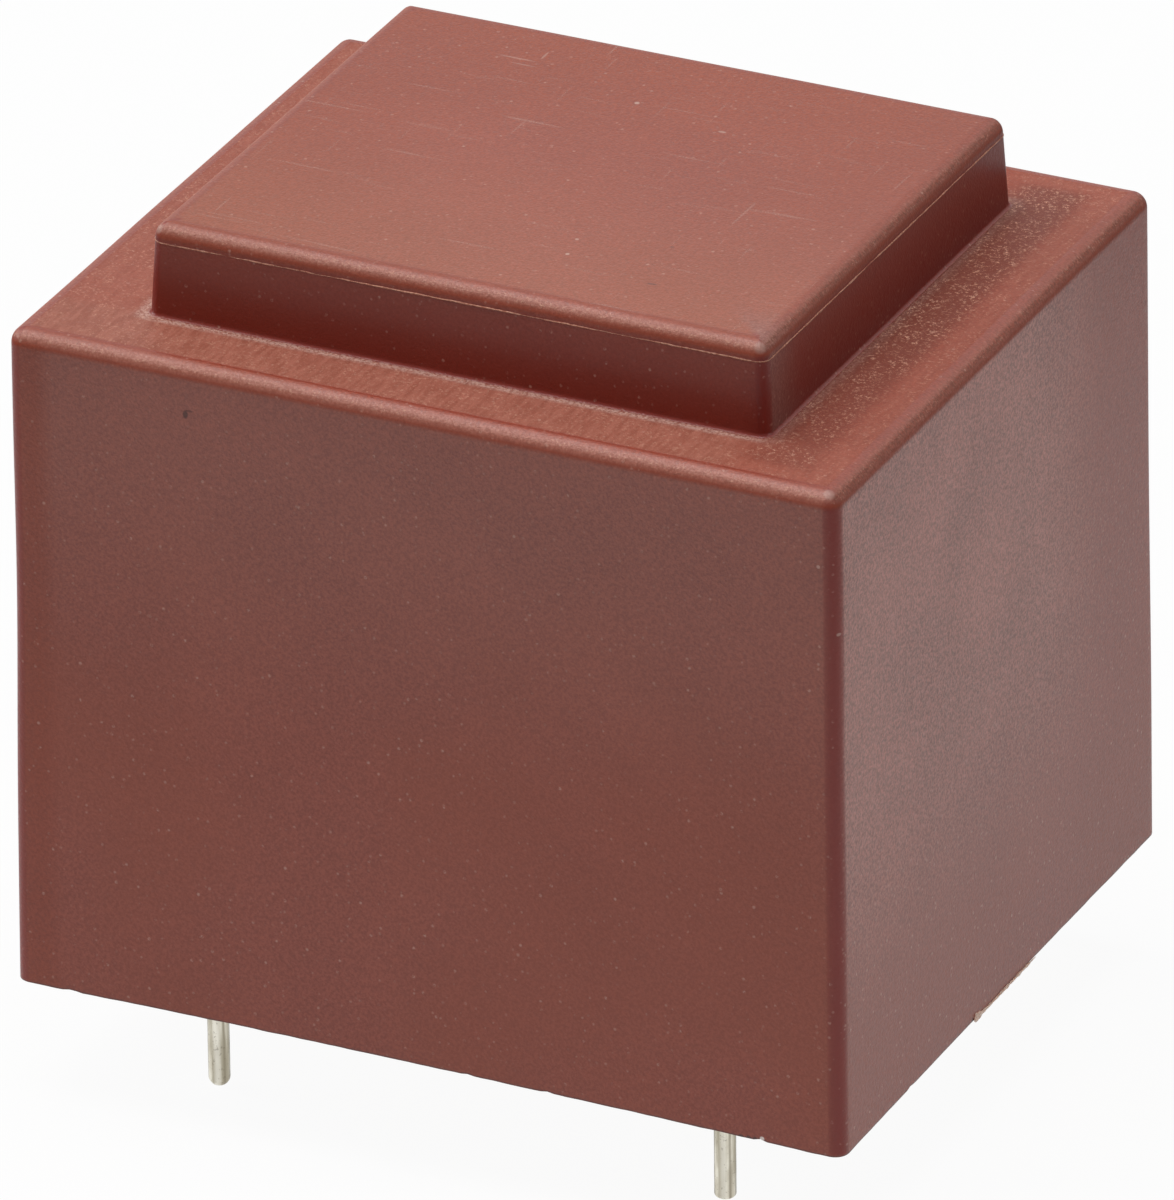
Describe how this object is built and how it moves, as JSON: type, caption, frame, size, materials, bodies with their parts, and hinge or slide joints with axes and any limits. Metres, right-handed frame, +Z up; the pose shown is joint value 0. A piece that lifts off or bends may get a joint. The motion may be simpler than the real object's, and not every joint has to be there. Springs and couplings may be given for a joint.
{
  "type": "pcb transformer",
  "caption": "Encapsulated PCB transformer: stepped red-brown moulded case potted round a laminated core and coil, with round tinned pins below for soldering into a board.",
  "frame": {"origin": "centre of the footprint and of the pin grid, in the plane of the case's lower rim, which sits on the board", "axes": "+X along the long side, +Y from the primary pins at the front to the secondary pins at the rear, +Z up from the board; the pins reach down to z = -4.65 mm"},
  "size_m": [0.0326, 0.0274, 0.034],
  "materials": {
    "case_plastic": "satin, fine blasted grain",
    "potting_resin": "cast, semi-gloss",
    "bobbin_plastic": "moulded, satin",
    "core_steel": "rolled, insulated sheet",
    "enamelled_wire": "enamelled copper, glossy",
    "tape": "polyester film",
    "tinned_pin": "dull tinned",
    "solder": "solder, satin"
  },
  "bodies": {
    "root": {"case": "case_plastic", "potting": "potting_resin", "bobbin": "bobbin_plastic", "front_e_sheets": "core_steel", "front_i_sheets": "core_steel", "rear_e_sheets": "core_steel", "rear_i_sheets": "core_steel", "primary_winding": "enamelled_wire", "primary_tape": "tape", "secondary_winding_inner": "enamelled_wire", "secondary_layer_tape": "tape", "secondary_winding_outer": "enamelled_wire", "secondary_tape": "tape", "pin_1": "tinned_pin", "pin_5": "tinned_pin", "pin_6": "tinned_pin", "pin_7": "tinned_pin", "pin_9": "tinned_pin", "pin_10": "tinned_pin", "lead_1": "enamelled_wire", "lead_5": "enamelled_wire", "lead_6": "enamelled_wire", "lead_7": "enamelled_wire", "lead_9": "enamelled_wire", "lead_10": "enamelled_wire", "solder_joint_1": "solder", "solder_joint_5": "solder", "solder_joint_6": "solder", "solder_joint_7": "solder", "solder_joint_9": "solder", "solder_joint_10": "solder"}
  },
  "joints": []
}
